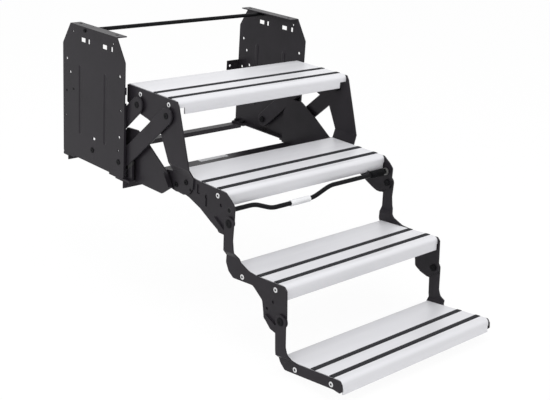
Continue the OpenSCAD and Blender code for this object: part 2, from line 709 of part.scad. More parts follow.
module tread(w, gap) {
  chambers = [[tread_wall, 78], [82, 142], [146, tread_d - 3 * tread_wall]];
  color(silver) {
    across(-w / 2, w) difference() {
      union() {
        difference() {
          shape([[0, 0, 2], [tread_d, 0, nose_r], [tread_d, -tread_t, 0], [0, -tread_t, 2]]);
          for (c = chambers)
            shape([[c[0], -tread_wall - groove_depth, 0], [c[1], -tread_wall - groove_depth, 0],
                   [c[1], tread_wall - tread_t, 0], [c[0], tread_wall - tread_t, 0]]);
        }
        for (out = [screw_a, screw_b]) translate([-out, -screw_drop]) circle(r = boss_r);
      }
      for (out = [screw_a, screw_b]) translate([-out, -screw_drop]) circle(d = screw_d);
      for (out = [strip_a, strip_b])
        translate([-out - strip_w / 2, -groove_depth]) square([strip_w, groove_depth + e]);
    }
    across(gap - w / 2, w - 2 * gap)
      shape([[tread_d - lip_t, -tread_t + 1, 0], [tread_d, -tread_t + 1, 0],
             [tread_d, -lip_h, 2], [tread_d - lip_t, -lip_h, 2]]);
  }
}

module strips(w)
  color(strip_grey) across(-w / 2, w)
    for (out = [strip_a, strip_b])
      shape([[out - strip_w / 2, -groove_depth, 0], [out - strip_w / 2, strip_proud, 0.6],
             [out + strip_w / 2, strip_proud, 0.6], [out + strip_w / 2, -groove_depth, 0]]);

module first_tread_screws()
  color(zinc) datum() both() for (out = [screw_a, screw_b]) end_screw(first_x, out);

module second_tread_screws() color(zinc) on_second() both() end_screw(second_x, screw_b);

// At the rear of the second tread, a longer screw also holds the foot of the upper bracket
module foot_screws()
  color(black) on_second() both() {
    rod(foot_x - screw_l, screw_l + bracket_t + 1, [screw_a, -screw_drop], screw_d);
    rod(foot_x + bracket_t, head_t, [screw_a, -screw_drop], screw_head_d);
  }

module third_tread_screws()
  color(zinc) on_third() both() for (out = [screw_a, screw_b]) end_screw(third_x, out);

module fourth_tread_screws()
  color(zinc) on_fourth() both() for (out = [screw_a, screw_b]) end_screw(fourth_x, out);

// Fold joints: a pin fixed in the upper bracket, with the arm turning on it outside

module fold_pin(x, at) {
  l = 2 * bracket_t + slide_gap + side_play;
  color(black) {
    rod(x - thin_nut, thin_nut + l + thin_head, at, fold_pin_d);
    rod(x + l, thin_head, at, fold_pin_d + 10);
  }
}
module fold_washer(x, at)
  color(black) ring(x + bracket_t, slide_gap - side_play, at, fold_pin_d + 14, fold_pin_d);
module fold_nut(x, at) color(black) nut(x - thin_nut, thin_nut, at, 1.5 * fold_pin_d, fold_pin_d);

module third_fold_pins() on_second() both() fold_pin(second_x, fold_3);
module third_fold_washers() on_second() both() fold_washer(second_x, fold_3);
module third_fold_nuts() on_second() both() fold_nut(second_x, fold_3);
module fourth_fold_pins() on_third() both() fold_pin(third_x, fold_4);
module fourth_fold_washers() on_third() both() fold_washer(third_x, fold_4);
module fourth_fold_nuts() on_third() both() fold_nut(third_x, fold_4);

module third_bracket(side)
  color(paint) on_third() hand(side) difference() {
    union() {
      bent([[arm_3_x, arm_3[1] + 40], [arm_3_x, 39.5], [third_x, 25.5], [third_x, -fold_4_drop - 60]])
        union() {
          plate(third_x - 1, arm_3_x - third_x + bracket_t + 2, concat(
            [[arm_3_back[0], arm_3_back[1], 0], [arm_3_low[0], arm_3_low[1], 20], [-5, 25, 20],
             [-7, 5.6, 10], [2, -15, 8], [19.4, -bracket_depth - 0.8, 8],
             [92, -bracket_depth, 14]],
            moved(fold_4, [
              [-69, 34, 12], [-65, 5, 8], [-64, -10, 8], [-45, -23, 10], [-19, -32, 8], [0, -18, 8],
              [16, 0, 0]]),
            [[tread_d + 6, -11, 4], [tread_d - 2, -edge, 3],
             [113, -edge, 20], [77, 2.7, 30], [46, 17.2, 12], [31, 42, 20], [28.7, 71, 20],
             [arm_3[0] + arm_r, arm_3[1], 0]]));
          rod(third_x - 1, arm_3_x - third_x + bracket_t + 2, arm_3, 2 * arm_r);
          rod(third_x - 1, arm_3_x - third_x + bracket_t + 2, fold_4, 2 * arm_r);
        }
      plate(third_x + bracket_t - e, bracket_t + slide_gap + e, stop_4());
    }
    rod(arm_3_x - e, bracket_t + 2 * e, arm_3, fold_pin_d + 2 * pivot_play);
    rod(third_x - e, bracket_t + 2 * e, fold_4, fold_pin_d);
    for (out = [screw_a, screw_b]) screw_hole(third_x, out);
    // Pressed recesses, open to the outside only
    for (at = [[tread_d - 61, -72], [tread_d - 40, -50]])
      rod(third_x + bracket_t - press, press + e, at, 8);
  }

module fourth_bracket(side)
  color(paint) on_fourth() hand(side) difference() {
    bent([[arm_4_x, arm_4[1] + 40], [arm_4_x, 8.5], [fourth_x, -0.5], [fourth_x, -60]])
      union() {
        plate(fourth_x - 1, arm_4_x - fourth_x + bracket_t + 2, [
          [arm_4_back[0], arm_4_back[1], 0], [arm_4_low[0], arm_4_low[1], 10],
          [-2, 0, 10], [2.5, -11.7, 8], [17.5, -bracket_depth, 10], [tread_d - 25, -bracket_depth, 10],
          [tread_d - 5, -bracket_depth - 4, 6], [tread_d + 2, -26, 4], [tread_d + 2, -12, 6],
          [tread_d - 4, -edge, 4], [56, -edge, 6], [50, 9, 10], [36, 18, 12], [31, 35, 20],
          [arm_4[0] + arm_r, arm_4[1], 0]]);
        rod(fourth_x - 1, arm_4_x - fourth_x + bracket_t + 2, arm_4, 2 * arm_r);
      }
    rod(arm_4_x - e, bracket_t + 2 * e, arm_4, fold_pin_d + 2 * pivot_play);
    for (out = [screw_a, screw_b]) screw_hole(fourth_x, out);
  }

// Pull handle under the second tread: a cranked bar that turns on its ends

held_right = 0;           // right end of the bar's held part
bar_route = [
  [-second_x - bracket_t + side_play, 0], [-held_left - slope_w, 0],
  [-held_left, -handle_dip], [held_right, -handle_dip], [held_right + slope_w, 0],
  [second_x + bracket_t - side_play, 0]];

module at_handle() on_second() translate([0, -handle_at[0], handle_at[1]]) children();

module pull_bar()
  color(black) at_handle() {
    for (i = [0 : len(bar_route) - 2]) {
      way = bar_route[i + 1] - bar_route[i];
      translate([bar_route[i][0], 0, bar_route[i][1]])
        rotate([0, atan2(way[0], way[1]), 0]) cylinder(h = norm(way), d = bar_d);
    }
    for (i = [1 : len(bar_route) - 2])
      translate([bar_route[i][0], 0, bar_route[i][1]]) sphere(d = bar_d + 0.6);
  }

module bar_collars()
  color(zinc) at_handle() both()
    ring(second_x - 9, 7 - side_play, [0, 0], bar_d + 8, bar_d);

module bar_bushes()
  color(black) at_handle() both()
    ring(second_x - 2, 2 + bracket_t, [0, 0], bar_d + 4, bar_d + 2 * pivot_play);

module bar_grip()
  color(grip_grey) at_handle()
    ring(-held_left / 3 - grip_l / 2, grip_l, [0, -handle_dip], grip_d, bar_d);

// Return spring: one tube of wire wound round the bar, with a leg against the tread's lip
coil_r = bar_d / 2 + spring_wire / 2 + 1;
coil_pitch = spring_wire + 1;
coil_start = second_x - 9 - 3 * spring_wire - spring_turns * coil_pitch;
wire_sides = 6;
ring_steps = 8;
leg_l = handle_ahead - side_play;

// Middle of the wire along the coil, then its last leg, which runs to the lip
function coil_point(t) =
  [coil_start + t * coil_pitch, coil_r * sin(360 * t), coil_r * cos(360 * t)];
wire_way = concat(
  [[coil_start, leg_l, coil_r], [coil_start, leg_l / 2, coil_r]],
  [for (i = [0 : spring_turns * ring_steps]) coil_point(-i / ring_steps) +
    [2 * i / ring_steps * coil_pitch, 0, 0]],
  [[coil_start + spring_turns * coil_pitch + spring_wire, -spring_wire / 2, coil_r],
   [coil_start + spring_turns * coil_pitch + 3 * spring_wire - side_play, -spring_wire / 2, coil_r]]);

function way_at(i) =
  let(n = len(wire_way))
  unit(wire_way[min(i + 1, n - 1)] - wire_way[max(i - 1, 0)]);
function side_at(i) =
  let(d = way_at(i), mid = wire_way[i])
  let(out = [0.2, mid[1], mid[2]])
  unit(out - d * (out * d));
wire_points = [for (i = [0 : len(wire_way) - 1], k = [0 : wire_sides - 1])
  let(s = side_at(i), b = cross(way_at(i), s), a = 360 * k / wire_sides)
  wire_way[i] + spring_wire / 2 * (s * cos(a) + b * sin(a))];
wire_faces = concat(
  [[for (k = [wire_sides - 1 : -1 : 0]) k]],
  [for (i = [0 : len(wire_way) - 2], k = [0 : wire_sides - 1], half = [0, 1])
    let(a = i * wire_sides + k, b = i * wire_sides + (k + 1) % wire_sides)
    half == 0 ? [a, b, b + wire_sides] : [a, b + wire_sides, a + wire_sides]],
  [[for (k = [0 : wire_sides - 1]) (len(wire_way) - 1) * wire_sides + k]]);

module bar_spring() color(black) at_handle() polyhedron(wire_points, wire_faces);

side_plate(-1);  // side_plate_left
side_plate(1);  // side_plate_right
top_tie_rod();
tie_rod_screws();
front_cross_member();
rear_cross_member();
cross_member_bolts();
cross_member_nuts();
guide_plate(-1);  // guide_plate_left
guide_plate(1);  // guide_plate_right
guide_plate_bolts();
rest_posts();
rubber_rests();
lower_pivot_bolts();
lower_pivot_spacers();
lower_pivot_nuts();
link(-1, [0, 0]);  // front_link_left
link(1, [0, 0]);  // front_link_right
link_bushes([0, 0], pivot_play);  // front_link_bushes
link(-1, back_by);  // rear_link_left
link(1, back_by);  // rear_link_right
link_bushes(back_by, loose_play);  // rear_link_bushes
upper_bracket(-1);  // upper_bracket_left
upper_bracket(1);  // upper_bracket_right
upper_pivot_bolts();
upper_pivot_washers();
upper_pivot_nuts();
second_bracket(-1);  // second_bracket_left
second_bracket(1);  // second_bracket_right
frame_bolts();
frame_nuts();
foot_screws();
datum() tread(first_w, lip_gap);  // first_tread
datum() strips(first_w);  // first_tread_strips
first_tread_screws();
on_second() tread(2 * second_x, lower_lip_gap);  // second_tread
on_second() strips(2 * second_x);  // second_tread_strips
second_tread_screws();
third_fold_pins();
third_fold_washers();
third_fold_nuts();
third_bracket(-1);  // third_bracket_left
third_bracket(1);  // third_bracket_right
on_third() tread(2 * third_x, lower_lip_gap);  // third_tread
on_third() strips(2 * third_x);  // third_tread_strips
third_tread_screws();
fourth_fold_pins();
fourth_fold_washers();
fourth_fold_nuts();
fourth_bracket(-1);  // fourth_bracket_left
fourth_bracket(1);  // fourth_bracket_right
on_fourth() tread(2 * fourth_x, lower_lip_gap);  // fourth_tread
on_fourth() strips(2 * fourth_x);  // fourth_tread_strips
fourth_tread_screws();
pull_bar();
bar_collars();
bar_bushes();
bar_grip();
bar_spring();
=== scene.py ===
# %% [markdown]
# # A caravan pull out step
#
# This lesson dresses a packed step: four pale treads on dark folding brackets, hung on links
# in a steel housing. The working solids come from the frame, at their real size. Each cell
# adds one finish or one kind of piece, and says how the real thing is made.

# %% Load the frame
import json
import math

import bmesh
import bpy
import numpy as np
from mathutils import Matrix, Vector


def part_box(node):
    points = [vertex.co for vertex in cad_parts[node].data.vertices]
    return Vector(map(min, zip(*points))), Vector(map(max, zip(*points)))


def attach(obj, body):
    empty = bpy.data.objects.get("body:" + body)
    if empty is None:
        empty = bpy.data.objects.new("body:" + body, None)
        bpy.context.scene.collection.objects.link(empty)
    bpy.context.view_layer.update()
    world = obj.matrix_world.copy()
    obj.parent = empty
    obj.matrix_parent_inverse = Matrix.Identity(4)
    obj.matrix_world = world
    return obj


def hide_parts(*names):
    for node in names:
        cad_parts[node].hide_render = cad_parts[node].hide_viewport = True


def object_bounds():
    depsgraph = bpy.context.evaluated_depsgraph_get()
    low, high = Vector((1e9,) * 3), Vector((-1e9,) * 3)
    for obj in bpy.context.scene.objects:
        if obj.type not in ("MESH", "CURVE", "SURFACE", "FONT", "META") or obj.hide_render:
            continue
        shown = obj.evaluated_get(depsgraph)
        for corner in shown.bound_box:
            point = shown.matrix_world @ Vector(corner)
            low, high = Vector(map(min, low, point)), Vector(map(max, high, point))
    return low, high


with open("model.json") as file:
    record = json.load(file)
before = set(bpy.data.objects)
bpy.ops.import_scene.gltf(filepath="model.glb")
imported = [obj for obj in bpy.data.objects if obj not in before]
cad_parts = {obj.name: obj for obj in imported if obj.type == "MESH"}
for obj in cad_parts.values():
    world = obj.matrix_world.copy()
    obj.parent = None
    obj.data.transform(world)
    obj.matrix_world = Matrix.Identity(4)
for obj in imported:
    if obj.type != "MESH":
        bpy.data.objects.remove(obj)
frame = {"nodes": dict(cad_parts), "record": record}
CAD_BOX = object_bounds()
NODES = frame["nodes"]
BODIES = frame["record"]["behaviour"]["bodies"]
BODY_OF = {node: body for body, members in BODIES.items() for node in members}
SLOT_OF = {part["node"]: part["material_slot"] for part in frame["record"]["subparts"]}
MM = 0.001
print(len(NODES), "solids in", len(BODIES), "moving bodies")

# %% [markdown]
# ## Camera
#
# The camera was worked out from the photograph: the rows of holes, the treads' edges and the
# housing's corners all have to fall where they are seen. Its roll is small but real, so it is
# kept. The rotation is built from azimuth, elevation and roll, in that order.

# %% Camera
CAMERA_AT = (-1.862017, -2.339389, 0.542327)
AZIMUTH = -0.764122
ELEVATION = 0.343023
ROLL = 0.065493
FOCAL_PIXELS = 1055.309
IMAGE_WIDTH = 550
SENSOR = 36.0
NEAR_CLIP = 0.05


def camera_axes(azimuth, elevation, roll):
    """Right, up and backward directions. Backward is a point on the unit sphere at the two
    angles, and right and up are turned about it by the roll."""
    back = np.array([math.sin(azimuth) * math.cos(elevation),
                     -math.cos(azimuth) * math.cos(elevation), math.sin(elevation)])
    right = np.cross(-back, [0, 0, 1])
    right /= np.linalg.norm(right)
    up = np.cross(right, -back)
    c, s = math.cos(roll), math.sin(roll)
    return c * right + s * up, c * up - s * right, back


lens = bpy.data.cameras.new("photo_camera")
lens.sensor_width = SENSOR
lens.lens = FOCAL_PIXELS / IMAGE_WIDTH * SENSOR
lens.clip_start = NEAR_CLIP
camera = bpy.data.objects.new("photo_camera", lens)
turned_view = Matrix(camera_axes(AZIMUTH, ELEVATION, ROLL)).transposed().to_4x4()
camera.matrix_world = Matrix.Translation(Vector(CAMERA_AT)) @ turned_view
bpy.context.scene.collection.objects.link(camera)
bpy.context.scene.camera = camera
bpy.context.scene.view_settings.view_transform = "Standard"
print(f"lens {lens.lens:.1f} mm")

# %% [markdown]
# ## Light
#
# A catalogue picture is lit by large soft lamps in a white room. The world gives even light,
# and turns pure white only where the camera or a reflection looks at it. That way a white
# background costs the object no contrast.

# %% World
WORLD_LEVEL = 0.80
WHITE = (1, 1, 1, 1)


def node_tree(owner):
    """An empty node tree on a material or world."""
    owner.use_nodes = True
    owner.node_tree.nodes.clear()
    return owner.node_tree


def white_to_rays(tree):
    """1 for camera, mirror and glass rays, else 0: the largest of the three flags."""
    path = tree.nodes.new("ShaderNodeLightPath")
    flag = path.outputs["Is Camera Ray"]
    for name in ("Is Glossy Ray", "Is Transmission Ray"):
        larger = tree.nodes.new("ShaderNodeMath")
        larger.operation = "MAXIMUM"
        tree.links.new(flag, larger.inputs[0])
        tree.links.new(path.outputs[name], larger.inputs[1])
        flag = larger.outputs[0]
    return flag


world = bpy.data.worlds.new("white_room")
bpy.context.scene.world = world
tree = node_tree(world)
room = tree.nodes.new("ShaderNodeBackground")
room.inputs["Strength"].default_value = WORLD_LEVEL
room.inputs["Color"].default_value = WHITE
white = tree.nodes.new("ShaderNodeBackground")
white.inputs["Color"].default_value = WHITE
choice = tree.nodes.new("ShaderNodeMixShader")
tree.links.new(white_to_rays(tree), choice.inputs["Fac"])
tree.links.new(room.outputs[0], choice.inputs[1])
tree.links.new(white.outputs[0], choice.inputs[2])
out = tree.nodes.new("ShaderNodeOutputWorld")
tree.links.new(choice.outputs[0], out.inputs["Surface"])
print("world level", WORLD_LEVEL)

# %% [markdown]
# Three area lamps shape the step. The large one hangs above and a little in front, so the
# treads' tops are as bright as their lips. The second stands at the camera's left and draws
# the side plate, and a weak one opens the shade on the right.

# %% Lamps
# name: place, aim, edge in metres, watts
LAMPS = {
    "top_softbox": ((-0.4, -1.1, 2.6), (0.0, -0.5, -0.3), 2.2, 50),
    "left_softbox": ((-2.8, -1.0, 1.2), (0.0, -0.3, -0.2), 1.6, 20),
    "right_softbox": ((2.6, -2.0, 1.4), (0.0, -0.4, -0.3), 1.4, 5),
}
for name, (place, aim, size, power) in LAMPS.items():
    lamp = bpy.data.lights.new(name, "AREA")
    lamp.size = size
    lamp.energy = power
    holder = bpy.data.objects.new(name, lamp)
    holder.location = place
    holder.rotation_euler = (Vector(place) - Vector(aim)).to_track_quat("Z", "Y").to_euler()
    bpy.context.scene.collection.objects.link(holder)
print(len(LAMPS), "lamps")

# %% [markdown]
# The floor is white paper under the lowest tread. Most of its brightness is its own where the
# camera or a reflection looks at it, so it reads as white and still keeps a faint soft shadow.

# %% Floor
FLOOR_GAP = 0.012
FLOOR_REACH = 9.0
OWN_LIGHT = 0.94
PAPER = (0.96, 0.96, 0.96, 1)
floor_z = CAD_BOX[0][2] - FLOOR_GAP
sheet_mesh = bpy.data.meshes.new("paper_floor")
sheet_corners = [(x * FLOOR_REACH, y * FLOOR_REACH, floor_z)
                 for x, y in ((-1, -1), (1, -1), (1, 1), (-1, 1))]
sheet_mesh.from_pydata(sheet_corners, [], [(0, 1, 2, 3)])
paper_floor = bpy.data.objects.new("paper_floor", sheet_mesh)
bpy.context.scene.collection.objects.link(paper_floor)

paper = bpy.data.materials.new("white_paper")
tree = node_tree(paper)
matt = tree.nodes.new("ShaderNodeBsdfDiffuse")
matt.inputs["Color"].default_value = PAPER
glow = tree.nodes.new("ShaderNodeEmission")
share = tree.nodes.new("ShaderNodeMath")
share.operation = "MULTIPLY"
share.inputs[1].default_value = OWN_LIGHT
tree.links.new(white_to_rays(tree), share.inputs[0])
choice = tree.nodes.new("ShaderNodeMixShader")
tree.links.new(share.outputs[0], choice.inputs["Fac"])
tree.links.new(matt.outputs[0], choice.inputs[1])
tree.links.new(glow.outputs[0], choice.inputs[2])
out = tree.nodes.new("ShaderNodeOutputMaterial")
tree.links.new(choice.outputs[0], out.inputs["Surface"])
sheet_mesh.materials.append(paper)
print("floor at", round(floor_z, 3))

# %% [markdown]
# ## Finishes
#
# Powder coat is sprayed dry and melted, so it has a fine orange peel and slightly uneven
# colour. Every finish here starts from one helper: a Principled shader whose colour, gloss
# and relief come from noise in Object coordinates, in metres, so the grain keeps its real
# size. Pointiness would be the usual way to wear the edges, but it is kept at the corners of
# each face only and would smear over these large plates, so the bevels catch the light alone.


# %% Finish helper
def mapped(tree, source, low, high, start=0.0, end=1.0):
    """Value from start to end becomes a value from low to high, held at both ends."""
    node = tree.nodes.new("ShaderNodeMapRange")
    node.inputs["From Min"].default_value = start
    node.inputs["From Max"].default_value = end
    node.inputs["To Min"].default_value = low
    node.inputs["To Max"].default_value = high
    tree.links.new(source, node.inputs["Value"])
    return node.outputs[0]


def noise(tree, vector, size, detail=4.0):
    """Noise whose blobs are about size metres across."""
    node = tree.nodes.new("ShaderNodeTexNoise")
    node.inputs["Scale"].default_value = 1 / size
    node.inputs["Detail"].default_value = detail
    tree.links.new(vector, node.inputs["Vector"])
    return node.outputs["Fac"]


def finish(name, colour, roughness, metallic=0.0, grain=0.0015, bump=0.1, depth=0.0002,
           spread=0.08, stretch=(1, 1, 1), patch=0.06, mottle=0.06, sockets=None):
    """A coat or metal: colour mottled by patches, gloss by patches and grain, relief by grain."""
    material = bpy.data.materials.new(name)
    tree = node_tree(material)
    out = tree.nodes.new("ShaderNodeOutputMaterial")
    shader = tree.nodes.new("ShaderNodeBsdfPrincipled")
    tree.links.new(shader.outputs[0], out.inputs["Surface"])
    shader.inputs["Metallic"].default_value = metallic
    for socket, value in (sockets or {}).items():
        shader.inputs[socket].default_value = value

    place = tree.nodes.new("ShaderNodeTexCoord")
    mapping = tree.nodes.new("ShaderNodeMapping")
    mapping.inputs["Scale"].default_value = stretch
    tree.links.new(place.outputs["Object"], mapping.inputs["Vector"])
    fine = noise(tree, mapping.outputs[0], grain)
    broad = noise(tree, mapping.outputs[0], patch, 6)

    paint = tree.nodes.new("ShaderNodeVectorMath")
    paint.operation = "SCALE"
    paint.inputs[0].default_value = colour
    tree.links.new(mapped(tree, broad, 1 - mottle, 1 + mottle, 0.3, 0.7), paint.inputs["Scale"])
    tree.links.new(paint.outputs[0], shader.inputs["Base Color"])

    both = tree.nodes.new("ShaderNodeMath")
    both.operation = "ADD"
    tree.links.new(fine, both.inputs[0])
    tree.links.new(broad, both.inputs[1])
    gloss = mapped(tree, both.outputs[0], roughness - spread, roughness + spread, 0.6, 1.4)
    tree.links.new(gloss, shader.inputs["Roughness"])

    relief = tree.nodes.new("ShaderNodeBump")
    relief.inputs["Strength"].default_value = bump
    relief.inputs["Distance"].default_value = depth
    tree.links.new(fine, relief.inputs["Height"])
    tree.links.new(relief.outputs[0], shader.inputs["Normal"])
    return material


# %% [markdown]
# The step needs nine finishes. The plates carry charcoal powder coat and the bars a satin
# black. The treads are aluminium with a pale satin coat, drawn out along their length by the
# press, so their grain is stretched along X.

# %% Finishes of this step
FINISHES = {
    "charcoal_steel": finish("charcoal_powder_coat", (0.0170, 0.0150, 0.0185), 0.36,
                             grain=0.0012, bump=0.25, depth=0.00012, mottle=0.16,
                             sockets={"Specular IOR Level": 0.16}),
    "black_steel": finish("satin_black_coat", (0.006, 0.006, 0.007), 0.34,
                          grain=0.001, bump=0.2, depth=0.0001,
                          sockets={"Specular IOR Level": 0.06}),
    "tread_aluminium": finish("pale_satin_tread", (0.625, 0.625, 0.65), 0.42, metallic=0.10,
                              grain=0.0008, bump=0.12, depth=0.00008,
                              stretch=(0.04, 1, 1), mottle=0.03, patch=0.02),
    "grip_strip": finish("grit_strip", (0.020, 0.020, 0.023), 0.9,
                         grain=0.0006, bump=0.9, depth=0.0004, mottle=0.3, patch=0.003,
                         sockets={"Specular IOR Level": 0.2}),
    "rest_rubber": finish("moulded_rubber", (0.012, 0.012, 0.012), 0.75, bump=0.3),
    "black_nylon": finish("black_nylon", (0.016, 0.016, 0.016), 0.5),
    "grey_grip": finish("grey_sleeve", (0.66, 0.665, 0.68), 0.5, bump=0.2, mottle=0.05),
    "bright_screws": finish("bright_screw", (0.66, 0.66, 0.67), 0.32, metallic=0.55, bump=0.1,
                            grain=0.0006, patch=0.004, mottle=0.08),
    "zinc_steel": finish("dull_zinc", (0.20, 0.20, 0.195), 0.42, metallic=0.8, patch=0.01,
                         mottle=0.15),
}
for node, solid in NODES.items():
    solid.data.materials.clear()
    solid.data.materials.append(FINISHES[SLOT_OF[node]])
print(len(FINISHES), "finishes")

# %% [markdown]
# ## Placing pieces
#
# The step was drawn from the first tread's rear top edge: x across, out towards the user and
# up. One helper turns such a place, in millimetres, into the frame, also for a tread that is
# tilted nose up. Another makes the mesh, gives it a finish and hangs it on its moving body.

# %% Places and pieces
OUT_OFFSET = -137.002
UP_OFFSET = -116.972
SHARP = math.radians(38)
SAME_PLACE = 1e-6


def placed(points, out=0.0, up=0.0, tilt=0.0):
    """Points (x, out, up) turned nose up by tilt degrees, moved by out and up, in metres."""
    points = np.asarray(points, dtype=float)
    c, s = math.cos(math.radians(tilt)), math.sin(math.radians(tilt))
    x, along, height = points.T
    away = out + c * along - s * height
    rise = up + s * along + c * height
    return np.stack([x, OUT_OFFSET - away, rise + UP_OFFSET], axis=1) * MM


def make_piece(name, points, faces, slot, body, replaced=()):
    """A mesh object from points in metres, with its finish, shading, body and replaced nodes."""
    mesh = bpy.data.meshes.new(name)
    mesh.from_pydata(points.tolist(), [], faces)
    mesh.update()
    return finish_piece(name, mesh, slot, body, replaced)


def finish_piece(name, mesh, slot, body, replaced=()):
    """Outward normals, smooth shading with sharp corners kept, its finish and body; replaced nodes
    hidden.
    """
    shell = bmesh.new()
    shell.from_mesh(mesh)
    bmesh.ops.recalc_face_normals(shell, faces=shell.faces)
    shell.to_mesh(mesh)
    shell.free()
    mesh.shade_smooth()
    mesh.set_sharp_from_angle(angle=SHARP)
    mesh.materials.clear()
    mesh.materials.append(FINISHES[slot])
    piece = bpy.data.objects.new(name, mesh)
    bpy.context.scene.collection.objects.link(piece)
    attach(piece, body)
    if replaced:
        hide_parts(*replaced)
    return piece


def mesh_of(node):
    """A merged copy of a solid: its loose triangles share their corners again."""
    shell = bmesh.new()
    shell.from_mesh(NODES[node].data)
    bmesh.ops.remove_doubles(shell, verts=shell.verts, dist=SAME_PLACE)
    return shell


def boxes_of(node):
    """Lowest and highest corner of each separate solid in a node, in metres, left to right."""
    shell = mesh_of(node)
    waiting = set(shell.verts)
    boxes = []
    while waiting:
        group = []
        front = [waiting.pop()]
        while front:
            vert = front.pop()
            group.append(vert.co[:])
            for edge in vert.link_edges:
                other = edge.other_vert(vert)
                if other in waiting:
                    waiting.remove(other)
                    front.append(other)
        boxes.append((np.min(group, axis=0), np.max(group, axis=0)))
    shell.free()
    return sorted(boxes, key=lambda pair: tuple(pair[0]))


print("screws of the first tread:", len(boxes_of("first_tread_screws")))

# %% [markdown]
# ## Pressed and cut plates
#
# The plates are punched and folded from sheet, then coated. Cut edges are never razor sharp:
# tumbling and the coat leave a small radius, and that radius is what catches the light. Each
# plate is copied, its flat faces are joined again, and its sharp edges get a small bevel.
# Weighted normals then keep the large faces flat and leave all the turning to the bevel.

# %% Softened plates
FLAT = math.radians(0.6)


def soften(node, width, segments=2, clear_of=(), clear=0.0, shaping=None, corner=SHARP):
    """A copy of a node with edges sharper than corner bevelled by width mm, away from clear_of."""
    shell = mesh_of(node)
    if shaping:
        shaping(shell)
    bmesh.ops.dissolve_limit(shell, angle_limit=FLAT, verts=shell.verts, edges=shell.edges)
    edges = []
    for edge in shell.edges:
        if len(edge.link_faces) != 2 or edge.calc_face_angle() < corner:
            continue
        middle = (edge.verts[0].co + edge.verts[1].co) / 2
        near = [math.hypot(middle.y - y, middle.z - z) < clear * MM for y, z in clear_of]
        if not any(near):
            edges.append(edge)
    bmesh.ops.bevel(shell, geom=edges, offset=width * MM, offset_type="OFFSET", segments=segments,
                    profile=0.5, affect="EDGES", clamp_overlap=True)
    mesh = bpy.data.meshes.new(node + "_dressed")
    shell.to_mesh(mesh)
    shell.free()
    piece = finish_piece(node + "_dressed", mesh, SLOT_OF[node], BODY_OF[node], (node,))
    piece.modifiers.new("flat_faces_win", "WEIGHTED_NORMAL").keep_sharp = True
    return piece


# node: width of its broken edges in mm
PLATES = {
    "guide_plate_left": 0.6, "guide_plate_right": 0.6,
    "upper_bracket_left": 0.7, "upper_bracket_right": 0.7,
    "second_bracket_left": 0.6, "second_bracket_right": 0.6,
    "third_bracket_left": 0.7, "third_bracket_right": 0.7,
    "fourth_bracket_left": 0.7, "fourth_bracket_right": 0.7,
    "front_cross_member": 0.6, "rear_cross_member": 0.6,
    "rest_posts": 0.5, "rubber_rests": 1.2,
}
for node, width in PLATES.items():
    soften(node, width)
print(len(PLATES), "plates softened")

# %% [markdown]
# The side plates also carry two pressed ribs each. A press draws the sheet over a rounded die,
# so the walls of a rib lean instead of standing square. The floor of each rib is drawn in
# towards its middle line: a point keeps only a share of its distance from that line, and the
# ends move in by the same few millimetres. The shallow corners that this leaves are bevelled
# too, so the light rolls over them.

# %% Ribs of the side plates
RIB_MIDDLES = (0.062, -0.058)
RIB_ENDS = (-0.302, -0.107)
# x of each face of a rib's floor, in metres: share of its width that is kept
RIB_FLOORS = {0.3209: 0.45, 0.3179: 0.55}
SAME_DEPTH = 1e-5
END_INSET = 0.004
RIB_CORNER = math.radians(15)
SIDE_EDGE = 0.75
SIDE_SEGMENTS = 3


def lean_ribs(shell):
    """Draws each rib's floor in: y towards its middle line by a share, z by END_INSET."""
    middle_z = sum(RIB_ENDS) / 2
    half = (RIB_ENDS[1] - RIB_ENDS[0]) / 2
    for vert in shell.verts:
        for depth, share in RIB_FLOORS.items():
            if abs(abs(vert.co.x) - depth) < SAME_DEPTH:
                middle = min(RIB_MIDDLES, key=lambda y: abs(vert.co.y - y))
                vert.co.y = middle + (vert.co.y - middle) * share
                vert.co.z = middle_z + (vert.co.z - middle_z) * (half - END_INSET) / half


for side in ("left", "right"):
    soften("side_plate_" + side, SIDE_EDGE, SIDE_SEGMENTS, shaping=lean_ribs, corner=RIB_CORNER)
print("two leaning ribs on each side plate")

# %% [markdown]
# The links are thick pressed bars, so their rims are rounded by nearly three millimetres.
# Their bores stay sharp, because the bushes are pressed into them.

# %% Links
LINK_RIM = 2.6
LINK_SEGMENTS = 4
BORE_CLEAR = 12
JOINTS = {joint["name"]: joint for joint in frame["record"]["behaviour"]["joints"]}
LOW_PIVOT = JOINTS["stow_swing"]["pos_m"]
TOP_PIVOT = JOINTS["frame_on_links"]["pos_m"]
REAR_PIVOT = JOINTS["rear_link_swing"]["pos_m"]
rear_top = (TOP_PIVOT[1] + REAR_PIVOT[1] - LOW_PIVOT[1], TOP_PIVOT[2])
for side in ("left", "right"):
    soften("front_link_" + side, LINK_RIM, LINK_SEGMENTS, [LOW_PIVOT[1:], TOP_PIVOT[1:]],
           BORE_CLEAR)
    soften("rear_link_" + side, LINK_RIM, LINK_SEGMENTS, [REAR_PIVOT[1:], rear_top], BORE_CLEAR)
print("links with a rim of", LINK_RIM, "mm")

# %% [markdown]
# ## Turned pieces
#
# Screws, pivots, nuts and washers are turned or forged round an axis. Their surface is a
# profile swept round in a circle: one array gives the distance along the axis and another the
# radius at each step. A hexagon only changes the radius: the flat's distance is divided by
# the cosine of the angle from the middle of the flat. Every such grid of points needs the same
# faces, so one helper makes them.

# %% Surfaces of revolution
AXES = {"x": [0, 1, 2], "y": [1, 0, 2], "z": [1, 2, 0]}


